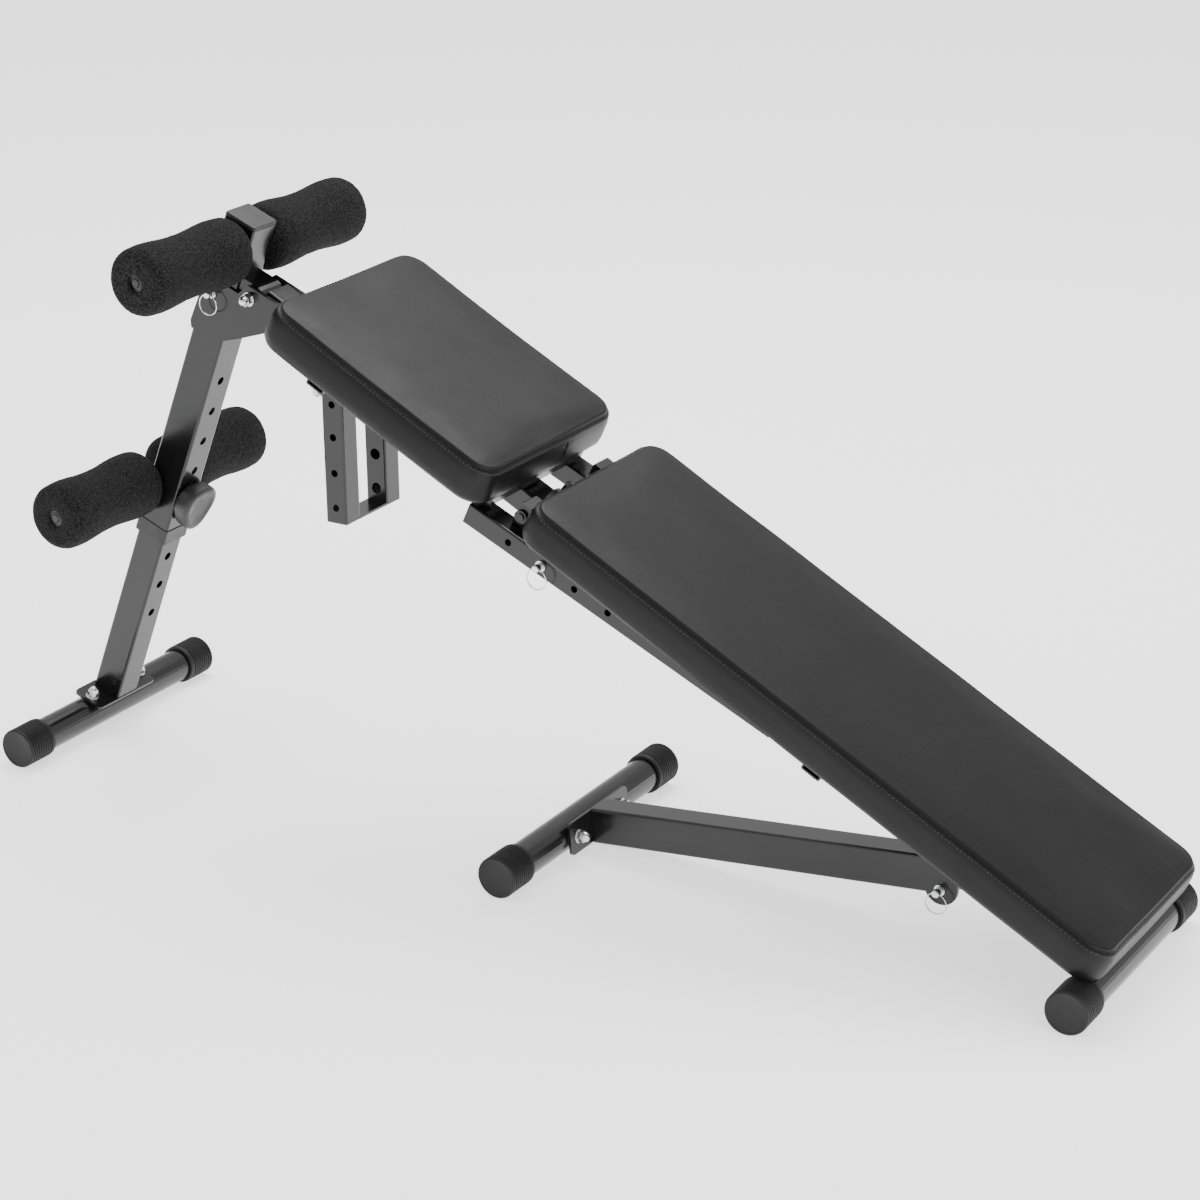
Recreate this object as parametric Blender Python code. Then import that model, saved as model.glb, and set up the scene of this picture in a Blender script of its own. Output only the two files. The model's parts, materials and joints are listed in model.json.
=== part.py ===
"""Decline sit up bench. Metres, +Z up, +X towards the head end, -Y is the side with the pull pins."""
import math

import bmesh
import bpy
from mathutils import Matrix, Vector

MM = 0.001
GAP = 0.3  # clearance between touching pieces
CENTRE_X = 703.4  # the middle of the overall length, measured from the front foot tube

# foot tubes and their caps
FOOT_R = 21.0
CAP_R = 25.0
CAP_LENGTH = 45.0
WALL = 2.0
FRONT_HALF = 182.0
MIDDLE_X = 716.0
MIDDLE_HALF = 187.0
REAR_X = 1400.0
REAR_HALF = 156.0
SADDLE_T = 3.0
PLATE_T = 3.5
FRONT_PLATE = (56.0, 22.0)
MIDDLE_PLATE = (65.0, 20.0)
FRONT_BOLT_Y = 46.0
MIDDLE_BOLT_Y = 49.0

# pads, in the pad frame: s down the slope, n off the cushion's top
PAD_SLOPE = 28.2
PAD_ORIGIN = (398.6, 644.5)
SEAT_S = (-4.5, 333.5)
SEAT_HALF = 143.0
SEAT_T = 50.5
BACK_S = (380.5, 1181.5)
BACK_HALF = 139.5
BACK_T = 47.5
PAD_CORNER = 30.0

# front post, in the post frame: u towards the seat, s up the post
POST_LEAN = 21.77
POST_BASE = (-22.6, -35.0)
POST_W = 45.0
POST_S = (355.0, 786.0)
INNER_W = 40.0
INNER_TOP = 540.0
HOLE_PITCH = 44.0
FRONT_PIVOT = (45.0, 709.0)
UPPER_AXLE = (0.0, 752.0)
LOWER_AXLE = (-32.3, 400.0)
KNOB_S = 397.0
KNOB_LOBE = 2.4
KNOB_TURN = 28.0
HOLE_R = 5.5
AXLE_R = 9.5
ROLLER_R = 41.0
ROLLER_WAIST = 37.6

# main tube
TUBE_W = 40.0
TUBE_H = 30.0
TUBE_FRONT = (298.6, 604.0)
TUBE_REAR = (1399.6, 22.6)

# rear leg, in the leg frame: along the leg from the middle foot tube
LEG_RISE = 5.8
LEG_W = 36.0
LEG_H = 44.0
LEG_LENGTH = 486.0
REAR_PIVOT = (1190.0, 99.5)
REAR_PIN = (1193.0, 60.0)

# backrest rails, in the pad frame
RAIL_SLOPE = 3.55
RAIL_ORIGIN = (350.0, -76.7)
RAIL_Y = (77.0, 109.0)
RAIL_H = 26.4
RAIL_END = 392.0
RAIL_HOLES = (23.0, 70.3, 117.6, 164.9)
BACK_HINGE = (367.0, -48.0)

# hanging prop
PROP_X = (401.5, 430.8)
PROP_Y = (27.0, 55.5)
PROP_Z = (359.0, 553.0)
PROP_HINGE = (416.15, 541.0)
PROP_HOLES = (378.0, 421.0, 465.0, 505.0)

# pull pins
RING_R = 12.6
WIRE_R = 0.95

COLOURS = {
    "paint": (0.012, 0.012, 0.013),
    "cover": (0.02, 0.02, 0.021),
    "foam": (0.015, 0.015, 0.016),
    "rubber": (0.02, 0.02, 0.02),
    "plastic": (0.035, 0.035, 0.036),
    "zinc": (0.72, 0.73, 0.75),
}


def frame(angle, x, z):
    """A frame turned by angle about +Y at (x, z): its X axis dips towards -Z for a positive angle."""
    turn = Matrix.Rotation(math.radians(angle), 4, "Y")
    return Matrix.Translation((x, 0, z)) @ turn


WORLD = Matrix.Identity(4)
PAD = frame(PAD_SLOPE, *PAD_ORIGIN)
POST = frame(POST_LEAN, *POST_BASE)
RAIL = PAD @ frame(-RAIL_SLOPE, *RAIL_ORIGIN)
LEG = frame(-LEG_RISE, MIDDLE_X, CAP_R)
TUBE_DX = TUBE_REAR[0] - TUBE_FRONT[0]
TUBE_DZ = TUBE_REAR[1] - TUBE_FRONT[1]
TUBE_LENGTH = math.hypot(TUBE_DX, TUBE_DZ)
TUBE = frame(math.degrees(-math.atan2(TUBE_DZ, TUBE_DX)), *TUBE_FRONT)
FRONT_STAND = frame(POST_LEAN - 90, 0, CAP_R)


def at(where, x, y, z):
    """A point given in a frame, in the bench's own millimetres."""
    return where @ Vector((x, y, z))


PAD_HINGE = at(PAD, BACK_HINGE[0], 0, BACK_HINGE[1])
POST_HINGE = at(POST, FRONT_PIVOT[0], 0, FRONT_PIVOT[1])
LEG_HINGE = Vector((REAR_PIVOT[0], 0, REAR_PIVOT[1]))


def clear_scene():
    for obj in list(bpy.data.objects):
        bpy.data.objects.remove(obj, do_unlink=True)
    for mesh in list(bpy.data.meshes):
        bpy.data.meshes.remove(mesh)


def material(name):
    mat = bpy.data.materials.new(name)
    mat.use_nodes = True
    shader = mat.node_tree.nodes["Principled BSDF"]
    kind = name.split("_")[-1]
    colour = COLOURS[kind]
    shader.inputs["Base Color"].default_value = (*colour, 1)
    shader.inputs["Roughness"].default_value = 0.35 if kind in ("paint", "zinc") else 0.7
    shader.inputs["Metallic"].default_value = 1.0 if kind == "zinc" else 0.0
    return mat


# closed solids, each a bmesh in millimetres in its own frame

def rounded(w, h, r, steps=3):
    """A w by h rectangle about the origin with rounded corners, anticlockwise."""
    points = []
    for k, (sx, sy) in enumerate(((1, 1), (-1, 1), (-1, -1), (1, -1))):
        cx = sx * (w / 2 - r)
        cy = sy * (h / 2 - r)
        for i in range(steps + 1):
            a = math.radians(90 * (k + i / steps))
            points.append((cx + r * math.cos(a), cy + r * math.sin(a)))
    return points


def circle(r, steps=32, x=0.0, y=0.0):
    return [
        (x + r * math.cos(2 * math.pi * i / steps), y + r * math.sin(2 * math.pi * i / steps))
        for i in range(steps)
    ]


def skin(loops, closed=False):
    """A closed solid over loops of equal length: capped at both ends, or joined end to end."""
    bm = bmesh.new()
    rows = [[bm.verts.new(p) for p in loop] for loop in loops]
    pairs = list(zip(rows, rows[1:]))
    if closed:
        pairs.append((rows[-1], rows[0]))
    for low, high in pairs:
        n = len(low)
        for i in range(n):
            j = (i + 1) % n
            bm.faces.new((low[i], low[j], high[j], high[i]))
    if not closed:
        bm.faces.new(list(reversed(rows[0])))
        bm.faces.new(rows[-1])
    bmesh.ops.recalc_face_normals(bm, faces=bm.faces)
    return bm


def along(points, axis, at):
    """2D points as 3D points on a plane across axis: x has (y, z), y has (x, z), z has (x, y)."""
    if axis == "x":
        return [(at, a, b) for a, b in points]
    if axis == "y":
        return [(a, at, b) for a, b in points]
    return [(a, b, at) for a, b in points]


def prism(points, axis, low, high):
    return skin([along(points, axis, low), along(points, axis, high)])


def shell(outer, inner, axis, low, high):
    """A straight open tube with the two profiles."""
    loops = [
        along(outer, axis, low),
        along(outer, axis, high),
        along(inner, axis, high),
        along(inner, axis, low),
    ]
    return skin(loops, closed=True)


def shifted(points, x, y):
    return [(a + x, b + y) for a, b in points]


def box(x, y, z):
    """A box from three (low, high) pairs."""
    corners = [(x[0], y[0]), (x[1], y[0]), (x[1], y[1]), (x[0], y[1])]
    return prism(corners, "z", z[0], z[1])


def lathe(profile, steps=32, ring=False):
    """A turned solid about Y from (radius, y) points; a ring profile closes on itself."""
    turned = [[(r * a, y, r * b) for a, b in circle(1.0, steps)] for r, y in profile]
    return skin(turned, closed=ring)


def place(bm, matrix):
    bm.transform(matrix)
    return bm


def rod(r, low, high, x=0.0, z=0.0, steps=24):
    """A round bar along Y."""
    return place(lathe([(r, low), (r, high)], steps), Matrix.Translation((x, 0, z)))


def mesh_of(name, bm):
    mesh = bpy.data.meshes.new(name)
    bm.to_mesh(mesh)
    bm.free()
    return mesh


def combine(name, solids, cuts):
    """One mesh from solids joined together, with cuts taken away."""
    base = bpy.data.objects.new(name, mesh_of(name, solids[0]))
    bpy.context.collection.objects.link(base)
    helpers = []
    steps = [("UNION", s) for s in solids[1:]] + [("DIFFERENCE", c) for c in cuts]
    for kind, solid in steps:
        helper = bpy.data.objects.new("helper", mesh_of("helper", solid))
        bpy.context.collection.objects.link(helper)
        helpers.append(helper)
        mod = base.modifiers.new("step", "BOOLEAN")
        mod.operation = kind
        mod.solver = "EXACT"
        mod.object = helper
    graph = bpy.context.evaluated_depsgraph_get()
    mesh = bpy.data.meshes.new_from_object(base.evaluated_get(graph))
    for obj in [base] + helpers:
        old = obj.data
        bpy.data.objects.remove(obj, do_unlink=True)
        bpy.data.meshes.remove(old)
    return mesh


def add(name, kind, solids, cuts=(), where=WORLD, origin=None, smooth=False):
    """A named node. Its origin is at the given (x, y, z) in millimetres from the front foot tube."""
    solids = solids if isinstance(solids, list) else [solids]
    if len(solids) > 1 or cuts:
        mesh = combine(name, solids, cuts)
    else:
        mesh = mesh_of(name, solids[0])
    origin = Vector(origin or (0, 0, 0))
    scale = Matrix.Scale(MM, 4)
    mesh.transform(scale @ Matrix.Translation(-origin) @ where)
    mesh.name = name
    if smooth:
        mesh.shade_smooth()
        mesh.set_sharp_from_angle(angle=math.radians(35))
    mesh.materials.clear()
    mesh.materials.append(material(name + "_" + kind))
    obj = bpy.data.objects.new(name, mesh)
    obj.location = (origin - Vector((CENTRE_X, 0, 0))) * MM
    bpy.context.collection.objects.link(obj)
    return obj


def turn_z(angle):
    return Matrix.Rotation(math.radians(angle), 4, "Z")


# repeated pieces

def dome_nut(start, thread=0.0):
    """A washer and a domed hex nut on +Y, standing on start; thread is a shank behind it."""
    washer = lathe([(8.5, 0), (8.5, 1.5)], 20)
    hexagon = lathe([(7.5, 1.2), (7.5, 8.5)], 6)
    dome = lathe([(6.2, 8), (6.2, 10), (5.2, 13), (2.8, 15), (0.4, 15.4)], 16)
    solids = [washer, hexagon, dome]
    if thread:
        solids.append(lathe([(4.8, -thread), (4.8, 1)], 20))
    lift = Matrix.Translation((0, start, 0))
    return [place(s, lift) for s in solids]


def hex_end(start):
    """A hex nut with the end of its bolt, standing on start, pointing to +Y."""
    lift = Matrix.Translation((0, start, 0))
    return [place(s, lift) for s in (lathe([(7.2, 0), (7.2, 6.5)], 6), lathe([(3.8, 6), (3.8, 10)], 16))]


def foot(name, x, half, body_origin=None):
    """A foot tube across the bench with a cup shaped cap over each end."""
    spot = Matrix.Translation((x, 0, CAP_R))
    end = half - 4.5
    profile = [(FOOT_R, -end), (FOOT_R, end), (FOOT_R - WALL, end), (FOOT_R - WALL, -end)]
    add(name + "_foot_tube", "paint", place(lathe(profile, 32, True), spot), origin=body_origin, smooth=True)
    for side, label in ((-1, "near"), (1, "far")):
        low = side * (half - CAP_LENGTH)
        tip = side * half
        inside = tip - side * 4.0
        bore = FOOT_R + GAP
        cup = [(0.3, inside), (bore, inside), (bore, low), (CAP_R, low)]
        cup += [(CAP_R, tip - side * 1.6), (CAP_R - 2.0, tip), (0.3, tip)]
        add(name + "_cap_" + label, "rubber", place(lathe(cup, 32), spot), origin=body_origin, smooth=True)


def saddle(half, low, high, where):
    """A curved plate over a foot tube, from low to high degrees round it."""
    inner = FOOT_R + GAP
    outer = inner + SADDLE_T
    steps = 14
    angles = [math.radians(low + (high - low) * i / steps) for i in range(steps + 1)]
    points = [(outer * math.cos(a), outer * math.sin(a)) for a in angles]
    points += [(inner * math.cos(a), inner * math.sin(a)) for a in reversed(angles)]
    return place(prism(points, "y", -half, half), where)


def stand(end, where, plate, bolt_y, origin=None):
    """A flat plate against a foot tube, across the frame's X axis, with a dome nut either side."""
    start = FOOT_R + GAP
    half, deep = plate
    plate = prism(rounded(2 * half, 2 * deep, 6), "x", start, start + PLATE_T)
    add(end + "_saddle", "paint", plate, where=where, origin=origin, smooth=True)
    for side, label in ((-1, "near"), (1, "far")):
        spot = Matrix.Translation((0, side * bolt_y, 0)) @ turn_z(-90)
        nut = [place(s, spot) for s in dome_nut(start + PLATE_T + GAP)]
        add(f"{end}_bolt_{label}", "zinc", nut, where=where, origin=origin, smooth=True)


def pull_pin(name, x, z, face, shank):
    """A pin along Y with its head out at -Y from face, and the split ring that hangs from it."""
    head = face - 9.5
    solids = [
        lathe([(3.2, head - 4.0), (4.4, head - 3.0), (4.4, head + 4.2), (3.6, head + 5.0)], 24),
        lathe([(6.5, face - 2.2), (6.5, face - GAP)], 24),
        lathe([(3.0, head + 4.0), (3.0, face + shank)], 24),
    ]
    spot = Matrix.Translation((x, 0, z))
    hole = place(lathe([(2.1, -8), (2.1, 8)], 16), Matrix.Translation((0, head, 0)) @ turn_z(90))
    add(
        name,
        "zinc",
        [place(s, spot) for s in solids],
        [place(hole, spot)],
        origin=(x, face, z),
        smooth=True,
    )
    ring = []
    for i in range(24):
        a = 2 * math.pi * i / 24
        spin = Matrix.Translation((x, head, z - RING_R)) @ Matrix.Rotation(a, 4, "Y")
        ring.append([spin @ Vector((RING_R + WIRE_R * c, WIRE_R * d, 0)) for c, d in circle(1.0, 6)])
    add(name + "_ring", "zinc", skin(ring, closed=True), origin=(x, head, z), smooth=True)


def roller(name, axle, side, inner, length):
    """A waisted foam roller with rounded ends, on an axle of the post."""
    r, w = ROLLER_R, ROLLER_WAIST
    outline = [(15, 0.0), (28, 0.6), (34.5, 4), (39, 11), (r, 24), (r - 0.6, 40), (w, length / 2)]
    back = [(a, length - b) for a, b in reversed(outline[:-1])]
    bore = AXLE_R + GAP
    profile = [(bore, 1.5)] + outline + back + [(bore, length - 1.5)]
    profile = [(a, side * (inner + b)) for a, b in profile]
    x, y, z = at(POST, axle[0], 0, axle[1])
    spot = Matrix.Translation((x, 0, z))
    middle = side * (inner + length / 2)
    add(name, "foam", place(lathe(profile, 28, True), spot), origin=(x, middle, z), smooth=True)


def pad(name, span, half, thick):
    """A cushion with rounded corners and softened edges, in the pad frame."""
    length = span[1] - span[0]
    spots = []
    low = ((10, -thick), (4, -thick + 2.5), (1, -thick + 8), (0, -thick + 17))
    high = ((0, -19), (1.5, -9.5), (4.5, -3), (7, -0.8), (13, 0))
    for inset, n in low + high:
        corner = PAD_CORNER - inset * 0.6
        loop = rounded(length - 2 * inset, 2 * half - 2 * inset, corner, 6)
        spots.append([((span[0] + span[1]) / 2 + a, b, n) for a, b in loop])
    add(name, "cover", skin(spots), where=PAD, origin=PAD_HINGE if name == "back_pad" else None, smooth=True)


def build_main():
    """The frame that everything else hangs on."""
    section = rounded(TUBE_W, TUBE_H, 3)
    hollow = rounded(TUBE_W - 2 * WALL, TUBE_H - 2 * WALL, 1.5)
    tube = place(shell(section, hollow, "x", 0, TUBE_LENGTH - 8), TUBE)
    bar = rod(FOOT_R + SADDLE_T + 2 * GAP, -40, 40, REAR_X, CAP_R, 40)
    prop_bore = rod(5.4, -30, 30, PROP_HINGE[0], PROP_HINGE[1])
    add("main_tube", "paint", tube, [bar, prop_bore], smooth=True)
    where = Matrix.Translation((REAR_X, 0, CAP_R))
    add("rear_saddle", "paint", saddle(50, 95, 207, where), smooth=True)
    foot("rear", REAR_X, REAR_HALF)

    plate = [
        (-24, 690),
        (-24, 677.5),
        (-26.2, 639.7),
        (-22.2, 630.7),
        (17.7, 632.4),
        (22, 635.8),
        (47.1, 654.4),
        (80.5, 681.7),
        (95, 693),
        (104, 700),
        (104, 719),
        (100, 723),
        (38, 724),
        (27, 706),
        (-14, 706),
    ]
    raised = [(24, 688.5), (86, 687.5), (95, 693), (104, 700), (104, 719), (100, 723), (38, 724), (28, 706)]
    block = [(66, 699), (102, 696), (102, 718), (66, 722)]
    for side, label in ((-1, "near"), (1, "far")):
        y = [side * v for v in (22.8, 25.6, 28.4, 20.3, 24.0)]
        solids = [prism(plate, "y", y[0], y[1]), prism(raised, "y", y[4], y[2]), prism(block, "y", y[3], y[4])]
        for solid in solids:
            bmesh.ops.recalc_face_normals(solid, faces=solid.faces)
        hole = rod(5.2, -40, 40, *FRONT_PIVOT)
        add("gusset_" + label, "paint", solids, [hole], POST)
    spot = POST @ Matrix.Translation((FRONT_PIVOT[0], 0, FRONT_PIVOT[1]))
    ends = dome_nut(28.7, 57.4) + [place(s, turn_z(180)) for s in dome_nut(28.7)]
    add("front_pivot_bolt", "zinc", ends, where=spot, smooth=True)

    pad("seat_pad", SEAT_S, SEAT_HALF, SEAT_T)
    low = -SEAT_T - GAP
    outer = shifted(rounded(25, 15.6, 2), 84.5, low - 7.8)
    inner = shifted(rounded(21, 11.6, 0.8), 84.5, low - 7.8)
    add("seat_front_bracket", "paint", shell(outer, inner, "y", -122, 122), where=PAD, smooth=True)
    rear = [box((303, 329), (-97, 97), (low - 10, low)), box((306, 326), (-19, 19), (low - 14.2, low - 5))]
    add("seat_rear_bracket", "paint", rear, where=PAD)
    for y, label in ((-114, "near"), (114, "far")):
        down = Matrix.Translation((86, y, 0)) @ Matrix.Rotation(math.radians(-90), 4, "X")
        end = [place(s, down) for s in hex_end(-low + 15.9)]
        add("seat_bolt_" + label, "zinc", end, where=PAD, smooth=True)

    s, n = BACK_HINGE
    base = -64.9
    ear = [(s - 13, base), (s + 13, base), (s + 9, n + 4), (s + 5, n + 8), (s - 5, n + 8), (s - 9, n + 4)]
    slot = box((s - 30, s + 30), (-11, 11), (base + 4, n + 20))
    add("hinge_lug", "paint", prism(ear, "y", -18, 18), [slot, rod(5.3, -30, 30, s, n)], PAD)
    hinge = [rod(5.0, -97, 97, s, n)]
    for side in (-1, 1):
        washer = sorted((side * 92.2, side * 95.2))
        hinge.append(rod(8.0, washer[0], washer[1], s, n))
    add("hinge_rod", "paint", hinge, where=PAD, smooth=True)
    stub = [(9, -76.3), (9, -20.3), (6.5, -20.3), (6.5, -76.3)]
    spot = RAIL @ Matrix.Translation((RAIL_HOLES[1], 0, 0))
    add("lock_stub", "paint", lathe(stub, 28, True), where=spot, smooth=True)

    x, z = REAR_PIN
    cheek = [(x + 1 + 20 * math.cos(a), z + 2 + 20 * math.sin(a)) for a in arc(180, 360, 12)]
    cheek += [(x + 22, 105), (x + 4, 140), (x - 19, 140), (x - 19, 110)]
    for side, label in ((-1, "near"), (1, "far")):
        low, high = sorted((side * 20.3, side * 24.8))
        holes = [rod(4.3, -40, 40, *REAR_PIVOT), rod(3.3, -40, 40, *REAR_PIN)]
        add("rear_plate_" + label, "paint", prism(cheek, "y", low, high), holes)
    spot = Matrix.Translation((REAR_PIVOT[0], 0, REAR_PIVOT[1]))
    bolt = [rod(4.0, -31, 31), lathe([(7.2, -31), (7.2, -25.1)], 6), lathe([(7.2, 25.1), (7.2, 31.5)], 6)]
    add("rear_pivot_bolt", "zinc", bolt, where=spot, smooth=True)
    spot = Matrix.Translation((PROP_HINGE[0], 0, PROP_HINGE[1]))
    bolt = [rod(5.0, -62, 62), lathe([(8.5, -62), (8.5, -55.8)], 6), lathe([(8.5, 55.8), (8.5, 62.5)], 6)]
    add("prop_bolt", "zinc", bolt, where=spot, smooth=True)


def arc(low, high, steps):
    return [math.radians(low + (high - low) * i / steps) for i in range(steps + 1)]


def build_post():
    """The front post with its rollers, about the front pivot."""
    tube = shell(rounded(POST_W, POST_W, 3), rounded(POST_W - 4, POST_W - 4, 1.2), "z", *POST_S)
    u, s = FRONT_PIVOT
    lug = [(21.5, s - 15), (u, s - 15)]
    lug += [(u + 15 * math.cos(a), s + 15 * math.sin(a)) for a in arc(-80, 80, 8)]
    lug += [(u, s + 15), (21.5, s + 15)]
    neck = prism(lug, "y", -19.5, 19.5)
    holes = [rod(5.2, -40, 40, u, s), rod(AXLE_R + GAP, -40, 40, *UPPER_AXLE, steps=28)]
    for k in range(5):
        across = Matrix.Translation((16, 0, 572 - HOLE_PITCH * k if k < 4 else KNOB_S)) @ turn_z(-90)
        holes.append(place(lathe([(HOLE_R, 0), (HOLE_R, 14)], 22), across))
    add("post_outer", "paint", [tube, neck], holes, POST, POST_HINGE, smooth=True)
    top = POST_S[1] + GAP
    lid = [(44.6, 0), (45, 1.0), (45, 3.6), (43.6, 4.8), (41, 5.2)]
    loops = [along(rounded(w, w, 3), "z", top + h) for w, h in lid]
    add("post_cap", "plastic", skin(loops), where=POST, origin=POST_HINGE, smooth=True)
    low = POST_S[0] - GAP
    ring = shell(rounded(47, 47, 3.5), rounded(INNER_W + 0.6, INNER_W + 0.6, 3), "z", low - 20, low)
    add("bushing", "plastic", ring, where=POST, origin=POST_HINGE, smooth=True)
    for name, axle, half in (("upper_axle", UPPER_AXLE, 199), ("lower_axle", LOWER_AXLE, 184)):
        x, y, z = at(POST, axle[0], 0, axle[1])
        pipe = [(AXLE_R, -half), (AXLE_R, half), (AXLE_R - 1.5, half), (AXLE_R - 1.5, -half)]
        spot = Matrix.Translation((x, 0, z))
        add(name, "paint", place(lathe(pipe, 28, True), spot), origin=POST_HINGE, smooth=True)
    for side, label in ((-1, "near"), (1, "far")):
        roller("upper_roller_" + label, UPPER_AXLE, side, 26.2, 177.0)
        roller("lower_roller_" + label, LOWER_AXLE, side, 24.0, 163.5)

    lobes = []
    for r, h in ((25, 24.5), (28.6, 26), (30, 29.5), (30, 41.5), (28.4, 45), (23, 46.5)):
        loop = []
        for i in range(36):
            a = 2 * math.pi * i / 36
            reach = r + KNOB_LOBE * math.cos(3 * (a - math.radians(KNOB_TURN)))
            loop.append((h, reach * math.cos(a), reach * math.sin(a)))
        lobes.append(loop)
    neck = place(lathe([(9, 23.0), (9, 25.5)], 24), turn_z(-90))
    pin = place(lathe([(3.6, 20.6), (3.6, 24)], 20), turn_z(-90))
    spot = POST @ Matrix.Translation((0, 0, KNOB_S))
    grip = at(spot, 35, 0, 0)
    add("knob", "plastic", [skin(lobes), neck, pin], where=spot, origin=grip, smooth=True)


def build_inner():
    """The sliding lower post with the front foot."""
    width = INNER_W
    low = (POST.inverted() @ Vector((0, 0, CAP_R))).z + FOOT_R + PLATE_T + 2 * GAP
    tube = shell(rounded(width, width, 3), rounded(width - 4, width - 4, 1.2), "z", low, INNER_TOP)
    holes = []
    for k in range(5):
        across = Matrix.Translation((13, 0, 220 + HOLE_PITCH * k)) @ turn_z(-90)
        holes.append(place(lathe([(HOLE_R, 0), (HOLE_R, 14)], 22), across))
    add("post_inner", "paint", tube, holes, POST, smooth=True)
    foot("front", 0, FRONT_HALF)
    stand("front", FRONT_STAND, FRONT_PLATE, FRONT_BOLT_Y)


def build_leg():
    """The rear leg with the middle foot, about the rear pivot."""
    low = FOOT_R + PLATE_T + 2 * GAP
    section = shell(rounded(LEG_W, LEG_H, 3), rounded(LEG_W - 4, LEG_H - 4, 1.2), "x", low, LEG_LENGTH)
    solids = [place(section, LEG), rod(8.0, -17.7, 17.7, *REAR_PIVOT)]
    add("leg_tube", "paint", solids, [rod(4.3, -40, 40, *REAR_PIVOT)], origin=LEG_HINGE, smooth=True)
    foot("middle", MIDDLE_X, MIDDLE_HALF, LEG_HINGE)
    stand("middle", LEG, MIDDLE_PLATE, MIDDLE_BOLT_Y, LEG_HINGE)


def build_back():
    """The backrest, about its hinge rod."""
    pad("back_pad", BACK_S, BACK_HALF, BACK_T)
    wide = RAIL_Y[1] - RAIL_Y[0]
    middle = sum(RAIL_Y) / 2
    s, n = BACK_HINGE
    for side, label in ((-1, "near"), (1, "far")):
        outer = shifted(rounded(wide, RAIL_H, 2.5), side * middle, 0)
        inner = shifted(rounded(wide - 4, RAIL_H - 4, 0.8), side * middle, 0)
        tube = prism(outer, "x", -38, RAIL_END)
        under = box((450, 800), (-150, 150), (-BACK_T - GAP, 0))
        cuts = [prism(inner, "x", -35, RAIL_END + 20), place(under, RAIL.inverted() @ PAD)]
        for x in RAIL_HOLES:
            low, high = sorted((side * 100, side * 115))
            cuts.append(rod(4.2, low, high, x, 0, 20))
        add("rail_" + label, "paint", tube, cuts, RAIL, PAD_HINGE, smooth=True)
        low, high = sorted((side * 63, side * 91.6))
        tab = [(s - 7.5, -61.3), (s + 7.5, -61.3), (s + 7.5, -34.5), (s + 6, -33), (s - 6, -33), (s - 7.5, -34.5)]
        hole = rod(5.4, -120, 120, s, n)
        add("tab_" + label, "paint", prism(tab, "y", low, high), [hole], PAD, PAD_HINGE)
    low = -BACK_T - GAP
    outer = shifted(rounded(25, 13.6, 2), 532, low - 6.8)
    inner = shifted(rounded(21, 9.6, 0.8), 532, low - 6.8)
    bar = shell(outer, inner, "y", -76.6, 76.6)
    add("back_front_bracket", "paint", bar, where=PAD, origin=PAD_HINGE, smooth=True)
    outer = shifted(rounded(25, 13.6, 2), 805, low - 6.8)
    inner = shifted(rounded(21, 9.6, 0.8), 805, low - 6.8)
    bar = shell(outer, inner, "y", -120, 120)
    add("back_rear_bracket", "paint", bar, where=PAD, origin=PAD_HINGE, smooth=True)
    for y, label in ((-104, "near"), (104, "far")):
        down = Matrix.Translation((805, y, 0)) @ Matrix.Rotation(math.radians(-90), 4, "X")
        end = [place(b, down) for b in hex_end(-low + 13.9)]
        add("back_bolt_" + label, "zinc", end, where=PAD, origin=PAD_HINGE, smooth=True)


def build_prop():
    """The two legged prop that hangs from its bolt under the seat."""
    centre = sum(PROP_X) / 2
    wide = PROP_X[1] - PROP_X[0]
    deep = PROP_Y[1] - PROP_Y[0]
    solids = []
    cuts = [rod(5.4, -80, 80, *PROP_HINGE)]
    for side in (-1, 1):
        middle = side * sum(PROP_Y) / 2
        outer = shifted(rounded(wide, deep, 2.5), centre, middle)
        inner = shifted(rounded(wide - 4, deep - 4, 0.8), centre, middle)
        solids.append(shell(outer, inner, "z", *PROP_Z))
        for z in PROP_HOLES:
            cuts.append(rod(4.6, side * PROP_Y[1] - 6, side * PROP_Y[1] + 6, centre, z, 12))
            cuts.append(rod(7.0, side * PROP_Y[0] - 6, side * PROP_Y[0] + 6, centre, z, 12))
        edge = centre + side * wide / 2
        corner = [(edge - side * 8, PROP_Z[1] + 1), (edge + side, PROP_Z[1] + 1), (edge + side, PROP_Z[1] - 9)]
        cuts.append(prism(corner, "y", -80, 80))
    solids.append(box(PROP_X, (-28.5, 28.5), (PROP_Z[0], PROP_Z[0] + 3)))
    origin = (PROP_HINGE[0], 0, PROP_HINGE[1])
    add("prop", "paint", solids, cuts, origin=origin, smooth=True)


def build_pins():
    x, y, z = at(POST, -7, 0, 688)
    pull_pin("front_pin", x, z, -25.6, -0.5)
    x, y, z = at(RAIL, RAIL_HOLES[1], 0, 0)
    pull_pin("rail_pin", x, z, -RAIL_Y[1], 20.0)
    pull_pin("rear_pin", REAR_PIN[0], REAR_PIN[1], -24.8, 6.2)


clear_scene()
build_main()
build_post()
build_inner()
build_leg()
build_back()
build_prop()
build_pins()
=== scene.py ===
"""Looks of the decline sit up bench: materials, cushions, foam, rubber, light and camera."""
import json
import math

import bmesh
import bpy
import numpy as np
from mathutils import Matrix, Vector, kdtree, noise


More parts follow.
